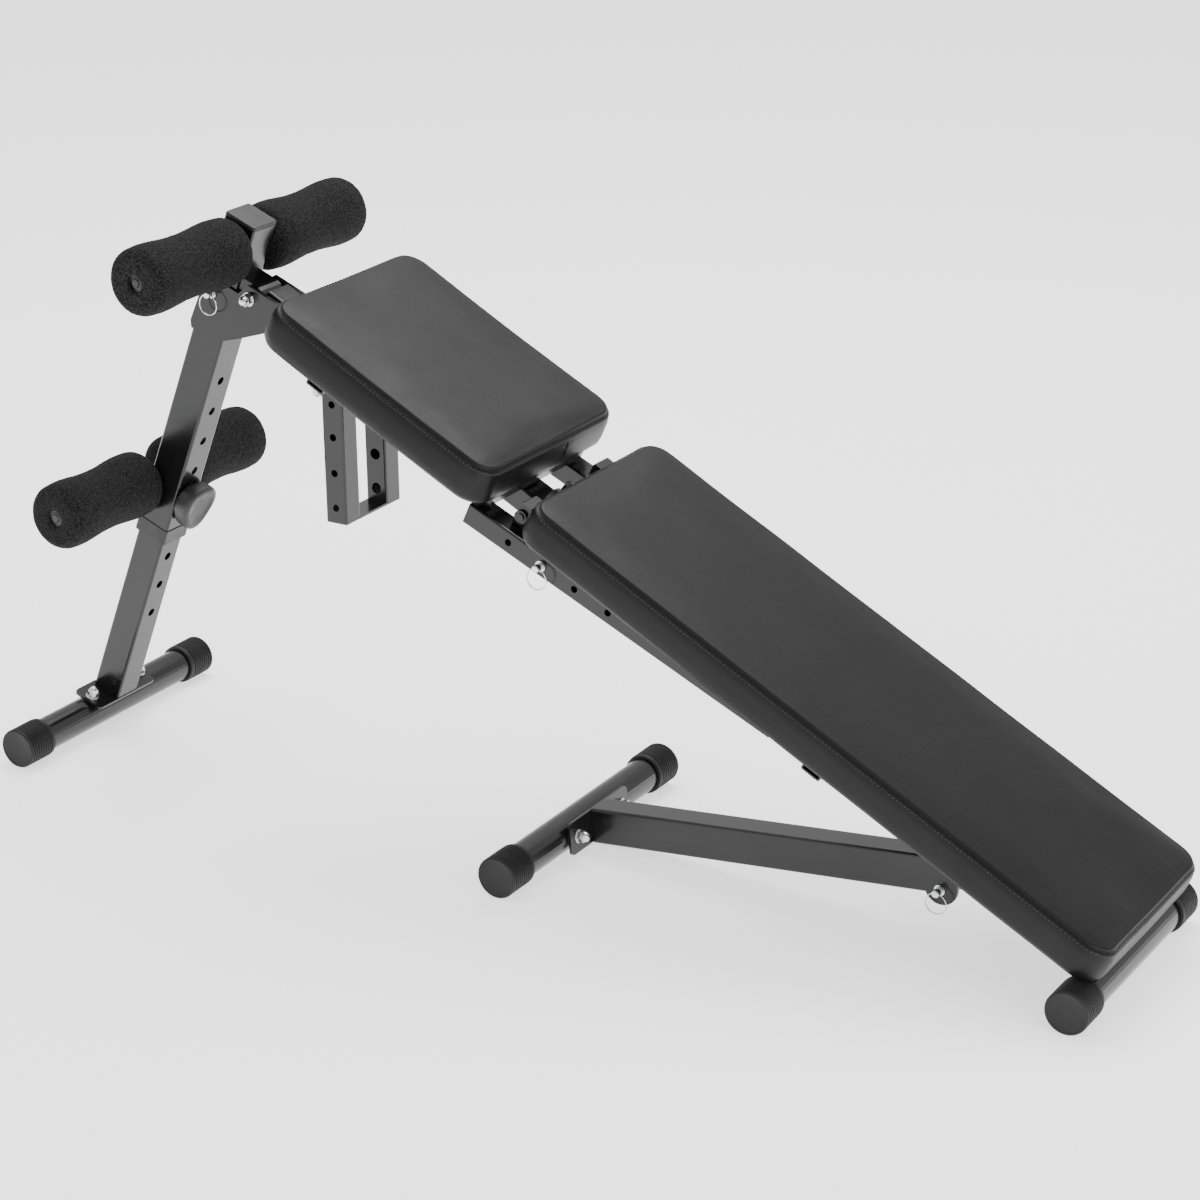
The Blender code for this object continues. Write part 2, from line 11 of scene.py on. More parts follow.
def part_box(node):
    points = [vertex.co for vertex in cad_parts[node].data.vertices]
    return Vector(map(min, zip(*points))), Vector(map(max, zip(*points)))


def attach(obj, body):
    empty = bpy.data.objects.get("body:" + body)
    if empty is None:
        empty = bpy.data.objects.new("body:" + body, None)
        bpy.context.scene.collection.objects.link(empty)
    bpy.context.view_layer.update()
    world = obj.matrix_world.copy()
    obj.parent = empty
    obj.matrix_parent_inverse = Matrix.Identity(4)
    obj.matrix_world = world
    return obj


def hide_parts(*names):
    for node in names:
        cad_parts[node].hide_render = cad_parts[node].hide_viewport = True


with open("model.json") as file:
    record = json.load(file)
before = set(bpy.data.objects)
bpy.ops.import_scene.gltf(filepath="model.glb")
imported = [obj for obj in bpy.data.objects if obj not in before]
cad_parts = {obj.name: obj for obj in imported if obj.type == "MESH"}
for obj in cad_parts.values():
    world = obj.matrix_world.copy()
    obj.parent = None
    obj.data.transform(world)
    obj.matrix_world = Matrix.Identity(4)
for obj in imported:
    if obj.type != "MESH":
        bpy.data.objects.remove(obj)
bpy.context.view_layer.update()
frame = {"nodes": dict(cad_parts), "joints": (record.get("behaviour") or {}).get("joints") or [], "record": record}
NODES = frame["nodes"]
JOINTS = {j["name"]: j for j in frame["joints"]}
MOUNTS = {m["name"]: m for m in frame["record"]["mounts"]}

MM = 0.001
TURN = 2 * math.pi

# the parts that the looks follow
CAP_R = 25 * MM
FOOT_R = 21 * MM
RIBS = 9
ROLLER_R = 41 * MM
ROLLER_WAIST = 37.6 * MM
ROLLER_BORE = 9.9 * MM
KNOB_LOBE = 2.4
KNOB_TURN = math.radians(28)
RING_WIRE = 0.8 * MM
RING_TURNS = 1.9

# cushions
PAD_CORNER = 30 * MM
PAD_STEP = 4.5 * MM
CORNER_STEPS = 8
BLANK_VOXEL = 6.5 * MM
SWELL = 2.4 * MM
SEAM_IN = 4.4 * MM
SEAM_DROP = 3.1 * MM
WELT_R = 0.95 * MM
STITCH_R = 0.42 * MM
STITCH_PITCH = 4.6 * MM
STITCH_ROW = 7
SEAM_ROW = 10
LEVELS = [
    (0.2, 15), (0.8, 11.5), (1.8, 8.6), (2.5, 6.8), (3.1, 5.4), (3.7, 4.2), (4.4, 3.1),
    (5.2, 2.2), (6.2, 1.5), (7.6, 1.0), (9.6, 0.6), (12.4, 0.25), (16, 0.05), (20, 0),
]


# ---------------------------------------------------------------- node helpers

class Shader:
    """A material built from a Principled shader, with short calls for the nodes that feed it."""

    def __init__(self, name, **sockets):
        self.mat = bpy.data.materials.new(name)
        self.mat.use_nodes = True
        self.tree = self.mat.node_tree
        self.main = self.tree.nodes["Principled BSDF"]
        self.coords = self.node("ShaderNodeTexCoord").outputs["Object"]
        self.height = None
        for key, value in sockets.items():
            self.main.inputs[key.replace("_", " ").title().replace("Ior", "IOR")].default_value = value

    def node(self, kind, **settings):
        made = self.tree.nodes.new(kind)
        for key, value in settings.items():
            setattr(made, key, value)
        return made

    def link(self, source, target):
        self.tree.links.new(source, target)

    def noise(self, scale, detail=2.0, rough=0.5, stretch=None):
        tex = self.node("ShaderNodeTexNoise")
        tex.inputs["Scale"].default_value = scale
        tex.inputs["Detail"].default_value = detail
        tex.inputs["Roughness"].default_value = rough
        self.link(self.stretched(stretch), tex.inputs["Vector"])
        return tex.outputs["Fac"]

    def cells(self, scale, feature="F1", stretch=None, out="Distance"):
        tex = self.node("ShaderNodeTexVoronoi", feature=feature)
        tex.inputs["Scale"].default_value = scale
        self.link(self.stretched(stretch), tex.inputs["Vector"])
        return tex.outputs[out]

    def stretched(self, stretch):
        if not stretch:
            return self.coords
        mapping = self.node("ShaderNodeMapping")
        mapping.inputs["Scale"].default_value = stretch
        self.link(self.coords, mapping.inputs["Vector"])
        return mapping.outputs["Vector"]

    def ramp(self, fac, stops):
        ramp = self.node("ShaderNodeValToRGB")
        for i, (place, colour) in enumerate(stops):
            element = ramp.color_ramp.elements[i] if i < 2 else ramp.color_ramp.elements.new(place)
            element.position = place
            element.color = (*colour, 1)
        self.link(fac, ramp.inputs["Fac"])
        return ramp.outputs["Color"]

    def span(self, fac, low, high, start=0.0, end=1.0):
        scaled = self.node("ShaderNodeMapRange")
        for key, value in (("From Min", start), ("From Max", end), ("To Min", low), ("To Max", high)):
            scaled.inputs[key].default_value = value
        self.link(fac, scaled.inputs["Value"])
        return scaled.outputs["Result"]

    def colour(self, fac, dark, light, start=0.3, end=0.7):
        self.link(self.ramp(fac, [(start, dark), (end, light)]), self.main.inputs["Base Color"])

    def rough(self, fac, low, high, start=0.3, end=0.7):
        self.link(self.span(fac, low, high, start, end), self.main.inputs["Roughness"])

    def bump(self, fac, strength, depth):
        made = self.node("ShaderNodeBump")
        made.inputs["Strength"].default_value = strength
        made.inputs["Distance"].default_value = depth
        self.link(fac, made.inputs["Height"])
        if self.height:
            self.link(self.height, made.inputs["Normal"])
        self.height = made.outputs["Normal"]
        self.link(self.height, self.main.inputs["Normal"])


def grey(value, tint=0.0):
    return (value, value, value * (1 + tint))


# ---------------------------------------------------------------- materials

def paint_material():
    """Gloss black powder coat: a faint orange peel, with dust and rubbed patches in its sheen."""
    s = Shader("black_paint", specular_ior_level=0.42, coat_weight=0.12, coat_roughness=0.08)
    s.colour(s.noise(14, 4), grey(0.0035), grey(0.007, 0.03))
    s.rough(s.noise(22, 5, 0.6), 0.17, 0.27)
    s.bump(s.noise(420, 2), 0.1, 0.0003)
    s.bump(s.noise(38, 2), 0.05, 0.002)
    return s.mat


def cover_material():
    """Black coated leathercloth: pebbled grain with fine pores and a soft uneven sheen."""
    s = Shader("black_cover", specular_ior_level=0.22)
    s.colour(s.noise(9, 5, 0.6), grey(0.0035), grey(0.0065, 0.02))
    s.rough(s.noise(16, 5, 0.65), 0.36, 0.46)
    s.bump(s.noise(11, 3), 0.12, 0.003)
    s.bump(s.cells(620, "SMOOTH_F1"), 0.24, 0.0005)
    s.bump(s.noise(1500, 2), 0.12, 0.0003)
    return s.mat


def thread_material():
    """Polyester sewing thread, twisted."""
    s = Shader("black_thread", specular_ior_level=0.5)
    s.colour(s.noise(600, 2), grey(0.014), grey(0.04))
    s.rough(s.noise(300), 0.4, 0.6)
    s.bump(s.noise(2500, 1), 0.4, 0.0003)
    return s.mat


def foam_material():
    """Closed cell foam with an open, speckled skin."""
    s = Shader("black_foam", roughness=0.95, specular_ior_level=0.08, sheen_weight=0.02, sheen_roughness=0.6)
    s.colour(s.noise(480, 5, 0.8), grey(0.001), grey(0.034), 0.42, 0.62)
    s.bump(s.cells(560, "F1"), 0.7, 0.0016)
    s.bump(s.noise(220, 5, 0.7), 0.6, 0.0018)
    return s.mat


def rubber_material():
    """Moulded rubber of the foot caps, slightly bloomed."""
    s = Shader("black_rubber", specular_ior_level=0.3)
    s.colour(s.noise(30, 5, 0.7), grey(0.007), grey(0.015))
    s.rough(s.noise(60, 4), 0.5, 0.66)
    s.bump(s.noise(900, 3, 0.6), 0.25, 0.0004)
    return s.mat


def plastic_material():
    """Moulded plastic with a fine eroded texture."""
    s = Shader("black_plastic", specular_ior_level=0.4)
    s.colour(s.noise(40, 4), grey(0.014), grey(0.026))
    s.rough(s.noise(90, 3), 0.36, 0.5)
    s.bump(s.noise(1400, 2), 0.3, 0.0004)
    return s.mat


def zinc_material():
    """Bright zinc plate with cloudy passivation and fine scratches."""
    s = Shader("bright_zinc", metallic=1.0)
    s.colour(s.noise(160, 4), (0.56, 0.57, 0.6), (0.82, 0.82, 0.8))
    s.rough(s.noise(240, 4, 0.6), 0.14, 0.3)
    s.bump(s.noise(900, 2, stretch=(1, 6, 1)), 0.15, 0.0003)
    return s.mat


def floor_material():
    s = Shader("studio_floor", roughness=0.9, specular_ior_level=0.1)
    s.colour(s.noise(0.8, 2), grey(0.93), grey(0.95))
    s.main.inputs["Emission Color"].default_value = (1, 1, 1, 1)
    s.main.inputs["Emission Strength"].default_value = 1.2
    return s.mat


MATERIALS = {
    "paint": paint_material(),
    "cover": cover_material(),
    "thread": thread_material(),
    "foam": foam_material(),
    "rubber": rubber_material(),
    "plastic": plastic_material(),
    "zinc": zinc_material(),
}
SLOTS = {p["node"]: p["material_slot"] for p in frame["record"]["subparts"]}


def finish_cad_nodes():
    for name, node in NODES.items():
        node.data.materials.clear()
        node.data.materials.append(MATERIALS[SLOTS[name]])
        node.data.shade_smooth()
        node.data.set_sharp_from_angle(angle=math.radians(32))


# ---------------------------------------------------------------- mesh helpers

def piece(name, mesh, look, body, *stands_for, slot=None):
    obj = bpy.data.objects.new(name, mesh)
    bpy.context.scene.collection.objects.link(obj)
    obj.data.materials.append(MATERIALS[look])
    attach(obj, body)
    if stands_for:
        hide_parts(*stands_for)
    return obj


def mesh_from(name, bm, smooth=40):
    bmesh.ops.recalc_face_normals(bm, faces=bm.faces)
    mesh = bpy.data.meshes.new(name)
    bm.to_mesh(mesh)
    bm.free()
    mesh.shade_smooth()
    mesh.set_sharp_from_angle(angle=math.radians(smooth))
    return mesh


def bridge(bm, rows, ring=False):
    """Faces between neighbouring rows of equal length, and from the last to the first for a ring."""
    pairs = list(zip(rows, rows[1:]))
    if ring:
        pairs.append((rows[-1], rows[0]))
    for low, high in pairs:
        for i in range(len(low)):
            j = (i + 1) % len(low)
            bm.faces.new((low[i], low[j], high[j], high[i]))


def close_ends(bm, rows):
    bm.faces.new(rows[0])
    bm.faces.new(rows[-1])


def turned(profile, steps, matrix, ring=False):
    """A bmesh turned about Y from (radius, y) points."""
    bm = bmesh.new()
    rows = []
    for r, y in profile:
        turns = [TURN * i / steps for i in range(steps)]
        spots = [matrix @ Vector((r * math.cos(a), y, r * math.sin(a))) for a in turns]
        rows.append([bm.verts.new(spot) for spot in spots])
    bridge(bm, rows, ring)
    if not ring:
        close_ends(bm, rows)
    return bm


def upright_middle(low, high):
    """A frame whose Y axis runs through the middle of a box."""
    middle = (low + high) / 2
    return Matrix.Translation((middle.x, 0, middle.z))


# ---------------------------------------------------------------- foot caps

def cap_profile(length, tip):
    """A ribbed sleeve with a rounded rim and a shallow dish in its end, from its open end outwards."""
    sign = 1 if tip > 0 else -1
    start = tip - sign * length
    bore = FOOT_R + 0.3 * MM
    points = [(bore, start), (CAP_R - 1.6 * MM, start), (CAP_R - 0.4 * MM, start + sign * 0.6 * MM)]
    land = 4.2 * MM
    pitch = (length - 2 * land) / RIBS
    for k in range(RIBS):
        base = start + sign * (land + k * pitch)
        for part, depth in ((0.0, 0.0), (0.42, 0.0), (0.56, 1.3), (0.82, 1.3), (0.97, 0.0)):
            points.append((CAP_R - depth * MM, base + sign * part * pitch))
    for r, back in ((0.0, 2.2), (0.5, 0.8), (1.6, 0.1), (2.6, 0.0), (3.4, 0.5), (4.2, 0.7), (20, 0.7)):
        points.append((CAP_R - r * MM, tip - sign * back * MM))
    inside = tip - sign * 4 * MM
    points += [(0.4 * MM, tip - sign * 0.7 * MM), (0.4 * MM, inside), (bore, inside)]
    return points


def make_caps():
    for end, body in (("front", "lower_post"), ("middle", "rear_leg"), ("rear", "bench_frame")):
        for side in ("near", "far"):
            node = f"{end}_cap_{side}"
            low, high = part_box(node)
            tip = low.y if side == "near" else high.y
            bm = turned(cap_profile(high.y - low.y, tip), 96, upright_middle(low, high), True)
            piece(f"{node}_ribbed", mesh_from(node, bm), "rubber", body, node, slot="rubber")


# ---------------------------------------------------------------- foam rollers

def roller_profile(side, inner, length, bore):
    """A waisted roller with rounded ends as a closed ring of (radius, y) points."""
    r = ROLLER_R
    waist = ROLLER_WAIST
    points = [(bore, side * (inner + 2 * MM)), (bore + 1.2 * MM, side * (inner + 0.4 * MM))]
    points += [(17 * MM, side * inner), (25 * MM, side * (inner + 0.2 * MM))]
    corner = 13 * MM
    for i in range(1, 9):
        a = math.radians(90 * i / 8)
        reach = r - 0.8 * MM - corner + corner * math.sin(a)
        points.append((reach, side * (inner + corner * (1 - math.cos(a)))))
    steps = 16
    for i in range(1, steps + 1):
        t = i / steps
        y = inner + corner + (length / 2 - corner) * t
        swell = 0.5 + 0.5 * math.cos(math.pi * min(1, max(0, (t - 0.18) / 0.72)))
        points.append((waist + (r - waist) * swell - 0.8 * MM * (1 - min(1, t * 6)), side * y))
    mirror = [(q, side * (2 * inner + length) - y) for q, y in reversed(points[:-1])]
    return points + mirror


def make_rollers():
    for name in ("upper_roller_near", "upper_roller_far", "lower_roller_near", "lower_roller_far"):
        low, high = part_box(name)
        side = -1 if name.endswith("near") else 1
        inner = min(abs(low.y), abs(high.y))
        profile = roller_profile(side, inner, high.y - low.y, ROLLER_BORE)
        bm = turned(profile, 112, upright_middle(low, high), True)
        mesh = mesh_from(name, bm, 60)
        roughen(mesh, 0.35 * MM, 150)
        foam = piece(f"{name}_foam", mesh, "foam", name, name, slot="foam")


def make_axle_plugs():
    """A pressed, painted plug in each end of the two axle tubes."""
    rim = [
        (0.3, 1.2), (4.5, 1.2), (5.2, 0.2), (7.2, 0.0), (8.4, -0.5), (8.4, -1.0), (7.6, -1.2), (7.6, -12),
        (0.3, -12),
    ]
    for name in ("upper_axle", "lower_axle"):
        low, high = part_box(name)
        for side, label, y in ((-1, "near", low.y), (1, "far", high.y)):
            profile = [(r * MM, y + side * h * MM) for r, h in rim]
            mesh = mesh_from(name, turned(profile, 48, upright_middle(low, high)))
            piece(f"{name}_plug_{label}", mesh, "paint", "front_post", slot="paint")


def roughen(mesh, depth, scale):
    """Moves each point along its normal by a smooth noise."""
    mesh.update()
    for v, n in zip(mesh.vertices, [v.normal.copy() for v in mesh.vertices]):
        v.co += n * depth * noise.noise(v.co * scale)


# ---------------------------------------------------------------- cushions

def pad_frame(top, angle):
    """x down the slope, y across, z off the cushion, from the middle of its top."""
    return Matrix.Translation(top) @ Matrix.Rotation(angle, 4, "Y")


def outline(length, width, corner, nx, ny):
    """Points round a rounded rectangle, always the same number, from its corner at +x and +y."""
    arcs = []
    for k, (sx, sy) in enumerate(((1, 1), (-1, 1), (-1, -1), (1, -1))):
        centre = Vector((sx * (length / 2 - corner), sy * (width / 2 - corner), 0))
        turns = [math.radians(90 * (k + i / CORNER_STEPS)) for i in range(CORNER_STEPS + 1)]
        arcs.append([centre + Vector((math.cos(a), math.sin(a), 0)) * corner for a in turns])
    loop = []
    for k in range(4):
        a = arcs[k][-1]
        b = arcs[(k + 1) % 4][0]
        count = ny if k % 2 else nx
        loop += arcs[k] + [a.lerp(b, i / (count + 1)) for i in range(1, count + 1)]
    return loop


def pad_mesh(name, size, levels, step):
    """A cushion of rings: from its underside up its sides and over its top to a line down its middle."""
    length, width, thick = size
    nx = int((length - 2 * PAD_CORNER) / step)
    ny = 2 * int((width - 2 * PAD_CORNER) / step / 2)
    half = width / 2
    insets = [(inset * MM, drop * MM) for inset, drop in levels]
    rings = int((half - 22 * MM) / (1.6 * step))
    insets += [(20 * MM + (half - 22 * MM) * i / rings, 0.0) for i in range(1, rings + 1)]
    bm = bmesh.new()
    rows = []
    for inset, drop in insets:
        corner = max(1.2 * MM, min(PAD_CORNER - 0.6 * inset, half - inset - 0.5 * MM))
        loop = outline(length - 2 * inset, width - 2 * inset, corner, nx, ny)
        rows.append([bm.verts.new(p - Vector((0, 0, drop))) for p in loop])
    count = len(rows[0])
    bridge(bm, rows)
    bm.faces.new(rows[0])
    last = rows[-1]
    upper = range(-(ny // 2), 2 * (CORNER_STEPS + 1) + nx + ny // 2)
    for i, j in zip(upper, upper[1:]):
        across = [last[(count - ny - 1 - k) % count] for k in (j, i)]
        bm.faces.new([last[i % count], last[j % count]] + across)
    inner = [v for row in rows[-5:] for v in row]
    bmesh.ops.remove_doubles(bm, verts=inner, dist=1.4 * MM)
    return mesh_from(name, bm, 180), count


def points_of(mesh):
    flat = np.zeros(len(mesh.vertices) * 3)
    mesh.vertices.foreach_get("co", flat)
    return flat.reshape(-1, 3)


def set_points(mesh, points):
    mesh.vertices.foreach_set("co", points.reshape(-1))
    mesh.update()


def keep_modifiers(obj):
    """Turns the object's modified shape into its mesh."""
    graph = bpy.context.evaluated_depsgraph_get()
    mesh = bpy.data.meshes.new_from_object(obj.evaluated_get(graph))
    obj.modifiers.clear()
    obj.data = mesh


def remesh(obj, voxel):
    mod = obj.modifiers.new("remesh", "REMESH")
    mod.mode = "VOXEL"
    mod.voxel_size = voxel
    keep_modifiers(obj)


def eased(mesh, field, rounds):
    """Averages a per-point field over the mesh's edges, some number of times."""
    pairs = np.zeros(len(mesh.edges) * 2, dtype=np.int64)
    mesh.edges.foreach_get("vertices", pairs)
    a, b = pairs.reshape(-1, 2).T
    count = np.bincount(a, minlength=len(field)) + np.bincount(b, minlength=len(field))
    for _ in range(rounds):
        total = np.zeros_like(field)
        np.add.at(total, a, field[b])
        np.add.at(total, b, field[a])
        field = 0.5 * field + 0.5 * total / np.maximum(count, 1)[:, None]
    return field


def inflate(obj, thick, limit):
    """Swells the cushion under pressure, its underside held by the board, and eases how far it moved."""
    before = points_of(obj.data)
    group = obj.vertex_groups.new(name="board")
    held = np.nonzero(before[:, 2] < -thick + 7 * MM)[0]
    group.add([int(i) for i in held], 1.0, "REPLACE")
    mod = obj.modifiers.new("cloth", "CLOTH")
    cloth = mod.settings
    cloth.quality = 5
    cloth.mass = 0.3
    cloth.tension_stiffness = 25
    cloth.compression_stiffness = 25
    cloth.shear_stiffness = 12
    cloth.bending_stiffness = 2.0
    cloth.use_pressure = True
    cloth.uniform_pressure_force = 4.0
    cloth.vertex_group_mass = "board"
    cloth.effector_weights.gravity = 0
    mod.point_cache.frame_start = 1
    mod.point_cache.frame_end = 20
    scene = bpy.context.scene
    for step in range(1, 21):
        scene.frame_set(step)
    keep_modifiers(obj)
    scene.frame_set(1)
    move = points_of(obj.data) - before
    size = np.linalg.norm(move, axis=1, keepdims=True)
    move *= np.minimum(1, limit / np.maximum(size, 1e-9))
    set_points(obj.data, before + eased(obj.data, move, 14))


def edge_distance(points, length, width, corner):
    """How far inside the rounded outline each point is, in plan."""
    q = np.abs(points[:, :2]) - np.array([length / 2 - corner, width / 2 - corner])
    outside = np.linalg.norm(np.maximum(q, 0), axis=1)
    inside = np.minimum(np.maximum(q[:, 0], q[:, 1]), 0)
    return corner - outside - inside


def carry(blank, before, points):
    """Moves points as the nearest points of the swollen blank moved."""
    after = points_of(blank.data)
    tree = kdtree.KDTree(len(before))
    for i, p in enumerate(before):
        tree.insert(p, i)
    tree.balance()
    moved = points.copy()
    for i, p in enumerate(points):
        near = tree.find_n(p, 6)
        weights = np.array([1 / (d + 1 * MM) for _, _, d in near])
        index = [k for _, k, _ in near]
        moved[i] += (after[index] - before[index]).T @ (weights / weights.sum())
    return moved


def normals_of(mesh):
    flat = np.zeros(len(mesh.vertices) * 3)
    mesh.vertex_normals.foreach_get("vector", flat)
    return flat.reshape(-1, 3)


def dress(mesh, plain, size, ends, folds, seed):
    """Presses in the seam round the top and the sewn joins down the ends, and gathers the corners.

    plain holds the points before they swelled; folds are corners as (end, side, depth in mm)."""
    length, width, thick = size
    inset = edge_distance(plain, length, width, PAD_CORNER)
    drop = -plain[:, 2]
    away = np.hypot(inset - SEAM_IN, drop - SEAM_DROP)
    push = -2.0 * MM * np.exp(-((away / (1.6 * MM)) ** 2))
    push += 0.55 * MM * np.exp(-(((away - 4.0 * MM) / (2.2 * MM)) ** 2))
    side = np.clip((drop - 7 * MM) / (8 * MM), 0, 1)
    side *= np.clip((thick - 3 * MM - drop) / (8 * MM), 0, 1)
    for x_sign, y in ends:
        near_end = plain[:, 0] * x_sign > length / 2 - 9 * MM
        push -= 1.1 * MM * side * near_end * np.exp(-(((plain[:, 1] - y) / (1.8 * MM)) ** 2))
    reach = np.abs(plain[:, :2]) - np.array([length / 2 - PAD_CORNER, width / 2 - PAD_CORNER])
    turn = np.arctan2(np.maximum(reach[:, 1], 0), np.maximum(reach[:, 0], 1e-6))
    for x_sign, y_sign, depth in folds:
        here = (plain[:, 0] * x_sign > 0) & (plain[:, 1] * y_sign > 0)
        at_corner = here * np.clip((reach.min(axis=1) + 14 * MM) / (14 * MM), 0, 1) * side
        push += depth * MM * at_corner * np.sin(turn * 9 + seed + x_sign + drop * 70)
    wave = np.sin(plain[:, 0] * 27 + seed) * np.sin(plain[:, 1] * 23 + 2 * seed)
    wave += 0.5 * np.sin(plain[:, 0] * 49 + plain[:, 1] * 37)
    push += 0.16 * MM * wave
    set_points(mesh, points_of(mesh) + normals_of(mesh) * push[:, None])


def side_levels(thick):
    """Rings up the side as (inset, drop) in millimetres, from the underside to below the seam."""
    t = thick / MM
    return [(10, t), (4, t - 2.5), (1, t - 8), (0, t - 17)]


def capsule(bm, a, b, radius, bow, sides=6):
    """A stitch from a to b, bowed along bow."""
    along = (b - a).normalized()
    across = along.cross(bow).normalized()
    up = across.cross(along)
    rows = []
    for t, r in ((0.0, 0.35), (0.14, 0.85), (0.5, 1.0), (0.86, 0.85), (1.0, 0.35)):
        centre = a.lerp(b, t) + up * radius * (0.9 * math.sin(math.pi * t) - 0.35)
        turns = [TURN * i / sides for i in range(sides)]
        spots = [centre + (across * math.cos(c) + up * math.sin(c)) * radius * r for c in turns]
        rows.append([bm.verts.new(spot) for spot in spots])
    bridge(bm, rows)
    close_ends(bm, rows)


def stitch_line(path):
    """Stitches along a line of (point, normal) pairs."""
    bm = bmesh.new()
    run = 0.0
    begin = None
    for (a, normal), (b, _) in zip(path, path[1:]):
        if begin is None:
            begin = a
        run += (b - a).length
        if STITCH_PITCH * 0.74 <= run < STITCH_PITCH:
            lift = normal * STITCH_R * 0.4
            capsule(bm, begin + lift, b + lift, STITCH_R, normal)
            run = STITCH_PITCH
        elif run >= STITCH_PITCH * 1.24:
            begin = b
            run = 0.0
    return mesh_from("stitches", bm, 180)


def cast(obj, rays):
    """Where (point, direction) rays meet the cushion, as (point, normal) pairs."""
    hits = [obj.ray_cast(start, towards) for start, towards in rays]
    return [(spot, normal) for hit, spot, normal, _ in hits if hit]


def walk(points, normals, step=0.55 * MM):
    """A closed row of points walked in short steps, as (point, normal) pairs."""
    path = []
    spots = [(Vector(p), Vector(n)) for p, n in zip(points, normals)]
    for (a, na), (b, nb) in zip(spots, spots[1:] + spots[:1]):
        count = max(1, round((b - a).length / step))
        path += [(a.lerp(b, i / count), na.lerp(nb, i / count).normalized()) for i in range(count)]
    return path


def welt(points, normals, sides=8):
    """A thin rolled edge of the cover along a closed row of points."""
    bm = bmesh.new()
    count = len(points)
    rows = []
    for i in range(count):
        ahead = Vector(points[(i + 1) % count] - points[i - 1]).normalized()
        up = Vector(normals[i])
        across = ahead.cross(up)
        centre = Vector(points[i]) + up * 0.45 * MM
        turns = [TURN * k / sides for k in range(sides)]
        spots = [centre + (up * math.cos(a) + across * math.sin(a)) * WELT_R for a in turns]
        rows.append([bm.verts.new(spot) for spot in spots])
    bridge(bm, rows, True)
    return mesh_from("welt", bm, 180)


def join_rays(size, x_sign, y):
    """Rays in half millimetre steps down an end of the cushion, for a sewn join at y."""
    outside = x_sign * (size[0] / 2 + 20 * MM)
    levels = range(22, int((size[2] - 8 * MM) / MM * 2))
    return [(Vector((outside, y, -z * 0.5 * MM)), Vector((-x_sign, 0, 0))) for z in levels]


def swell(obj, plain, thick):
    """Moves the cushion's points as a blank of it moves in a cloth simulation."""
    blank = bpy.data.objects.new("blank", obj.data.copy())
    bpy.context.scene.collection.objects.link(blank)
    remesh(blank, BLANK_VOXEL)
    before = points_of(blank.data)
    inflate(blank, thick, SWELL)
    set_points(obj.data, carry(blank, before, plain))
    bpy.data.objects.remove(blank)


def make_pad(name, node, body, mount, ends, folds, seed):
    """A sewn cushion in place of a plain pad: ends are its sewn joins, as (end, place across)."""
    low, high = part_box(node)
    axis = Vector(MOUNTS[mount]["axis"])
    place = pad_frame(Vector(MOUNTS[mount]["pos_m"]), math.atan2(axis.x, axis.z))
    local = points_of(NODES[node].data) @ np.array(place.inverted().to_3x3()).T
    local += np.array(place.inverted().translation)
    size = (local[:, 0].max() - local[:, 0].min(), high.y - low.y, -local[:, 2].min())
    mesh, count = pad_mesh(name, size, side_levels(size[2]) + LEVELS, PAD_STEP)
    obj = bpy.data.objects.new(name, mesh)
    bpy.context.scene.collection.objects.link(obj)
    plain = points_of(mesh)
    swell(obj, plain, size[2])
    dress(mesh, plain, size, ends, folds, seed)
    bpy.context.view_layer.update()
    points = points_of(mesh)
    normals = normals_of(mesh)
    seam = slice(SEAM_ROW * count, (SEAM_ROW + 1) * count)
    row = slice(STITCH_ROW * count, (STITCH_ROW + 1) * count)
    trims = [("welt", welt(points[seam], normals[seam]), "cover")]
    trims.append(("stitches", stitch_line(walk(points[row], normals[row])), "thread"))
    for k, (x_sign, y) in enumerate(ends):
        for side, shift in (("left", -3.4 * MM), ("right", 3.4 * MM)):
            path = cast(obj, join_rays(size, x_sign, y + shift))
            trims.append((f"join_{k}_{side}", stitch_line(path), "thread"))
    mesh.transform(place)
    mesh.materials.append(MATERIALS["cover"])
    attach(obj, body)
    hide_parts(node)
    for label, trim, look in trims:
        trim.transform(place)
        piece(f"{name}_{label}", trim, look, body, slot="cover")


# ---------------------------------------------------------------- hardware

def make_rings():
    """Split rings of two turns of wire in place of the plain rings."""
    steps = 150
    sides = 10
    for name in ("front_pin_ring", "rail_pin_ring", "rear_pin_ring"):
        low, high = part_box(name)
        centre = (low + high) / 2
        radius = (high.z - low.z) / 2 - 0.95 * MM
        bm = bmesh.new()
        rows = []
        for i in range(steps + 1):
            a = TURN * RING_TURNS * i / steps
            out = Vector((math.cos(a), 0, math.sin(a)))
            middle = centre + out * radius + Vector((0, (i / steps - 0.5) * 1.0 * MM, 0))
            size = RING_WIRE * (0.55 if i in (0, steps) else 0.62)
            row = []
            for k in range(sides):
                b = TURN * k / sides
                across = Vector((0, size * math.sin(b), 0))
                row.append(bm.verts.new(middle + out * size * 1.25 * math.cos(b) + across))
            rows.append(row)
        bridge(bm, rows)
        close_ends(bm, rows)
        piece(f"{name}_wire", mesh_from(name, bm), "zinc", name, name, slot="zinc")


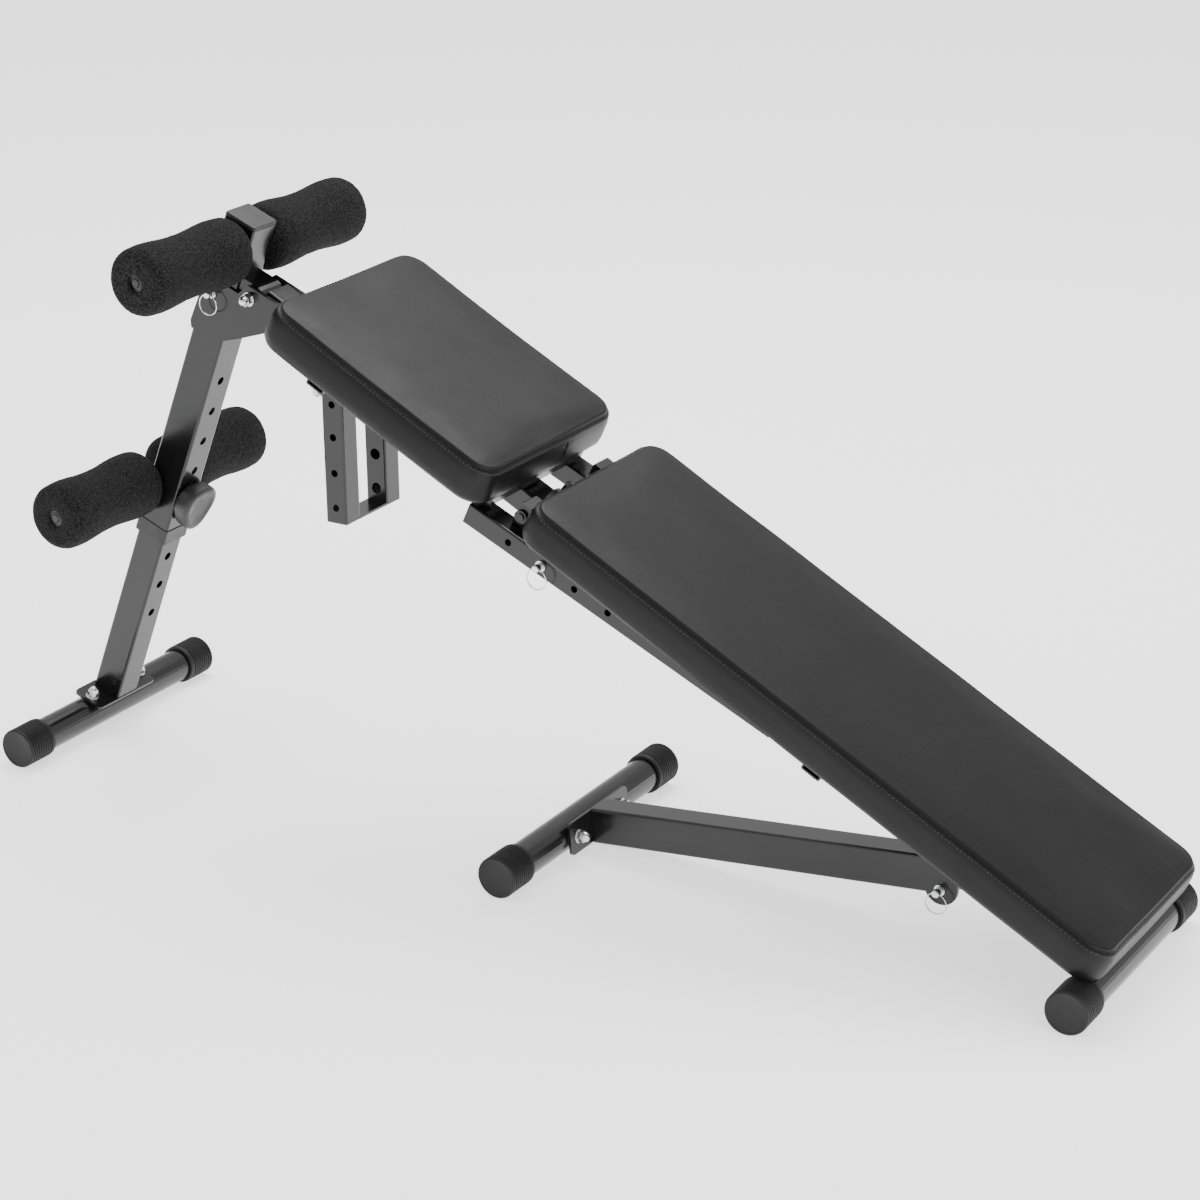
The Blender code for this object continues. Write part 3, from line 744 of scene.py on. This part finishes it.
def make_knob():
    """The lobed grip with a rounded rim and a shallow dish, on its neck."""
    axis = Vector(JOINTS["knob_pull"]["axis"])
    points = points_of(NODES["knob"].data)
    tip = (points @ np.array(axis)).max()
    centre = Vector(points.mean(axis=0))
    centre += axis * (float(tip) - centre.dot(axis))
    across = Vector((0, 1, 0))
    turn = Matrix((across, axis, axis.cross(across))).transposed().to_4x4()
    spot = Matrix.Translation(centre) @ turn
    profile = [
        (3.6, -25.9), (3.6, -23.5), (9, -23.5), (9, -21.9), (22, -21.9), (25.5, -21.6), (28.5, -20.4),
        (29.7, -18.6), (30, -16.2), (30, -5.6), (29.6, -3.4), (28.4, -1.6), (26.4, -0.4), (24, 0),
        (21.5, -0.3), (19.5, -1.2), (12, -1.6), (0.4, -1.6),
    ]
    steps = 96
    bm = bmesh.new()
    rows = []
    for r, y in profile:
        lobe = KNOB_LOBE * min(1, max(0, (r - 12) / 14))
        row = []
        for i in range(steps):
            a = TURN * i / steps
            reach = (r - 0.6 * (lobe > 0) + lobe * math.cos(3 * (a - KNOB_TURN))) * MM
            row.append(bm.verts.new(spot @ Vector((reach * math.cos(a), y * MM, reach * math.sin(a)))))
        rows.append(row)
    bridge(bm, rows)
    close_ends(bm, rows)
    piece("knob_grip", mesh_from("knob", bm, 35), "plastic", "knob_pin", "knob", slot="plastic")


# ---------------------------------------------------------------- stage

def make_stage():
    """A pale floor, just under the feet, and an even white sky."""
    bm = bmesh.new()
    size = 14
    around = ((-1, -1), (1, -1), (1, 1), (-1, 1))
    bm.faces.new([bm.verts.new((x * size, y * size, 0)) for x, y in around])
    mesh = bpy.data.meshes.new("floor")
    bm.to_mesh(mesh)
    bm.free()
    floor = bpy.data.objects.new("floor", mesh)
    bpy.context.scene.collection.objects.link(floor)
    floor.location.z = -0.0004
    floor.data.materials.append(floor_material())
    world = bpy.data.worlds.new("studio")
    bpy.context.scene.world = world
    world.use_nodes = True
    background = world.node_tree.nodes["Background"]
    background.inputs["Color"].default_value = (1, 1, 1, 1)
    background.inputs["Strength"].default_value = 1.0


def area_light(name, place, target, size, power):
    data = bpy.data.lights.new(name, "AREA")
    data.shape = "RECTANGLE"
    data.size = size[0]
    data.size_y = size[1]
    data.energy = power
    light = bpy.data.objects.new(name, data)
    bpy.context.scene.collection.objects.link(light)
    light.location = place
    light.rotation_euler = (Vector(target) - Vector(place)).to_track_quat("-Z", "Y").to_euler()


def make_camera():
    data = bpy.data.cameras.new("camera")
    data.lens = 93.32
    data.sensor_width = 36
    camera = bpy.data.objects.new("camera", data)
    bpy.context.scene.collection.objects.link(camera)
    right = Vector((0.85469, 0.51903, -0.010576))
    down = Vector((0.179314, -0.314272, -0.932244))
    turn = Matrix((right, -down, right.cross(-down))).transposed()
    camera.matrix_world = Matrix.Translation((1.7771, -2.8326, 1.5956)) @ turn.to_4x4()
    bpy.context.scene.camera = camera


finish_cad_nodes()
make_caps()
make_rollers()
make_axle_plugs()
soft = [(1, 1, 0.25), (-1, 1, 0.25), (-1, -1, 0.25)]
seat_joins = [(1, 0.028), (-1, 0.03)]
make_pad("seat_cushion", "seat_pad", "bench_frame", "seat_top", seat_joins, soft + [(1, -1, 0.9)], 1.7)
make_pad("back_cushion", "back_pad", "backrest", "back_top", [(-1, 0.02)], soft + [(1, -1, 0.25)], 4.1)
make_rings()
make_knob()
make_stage()
area_light("key", (-0.6, 1.2, 3.2), (0, 0, 0.3), (3.0, 2.0), 110)
area_light("fill", (3.4, -1.2, 1.4), (0, 0, 0.3), (2.2, 1.6), 40)
make_camera()
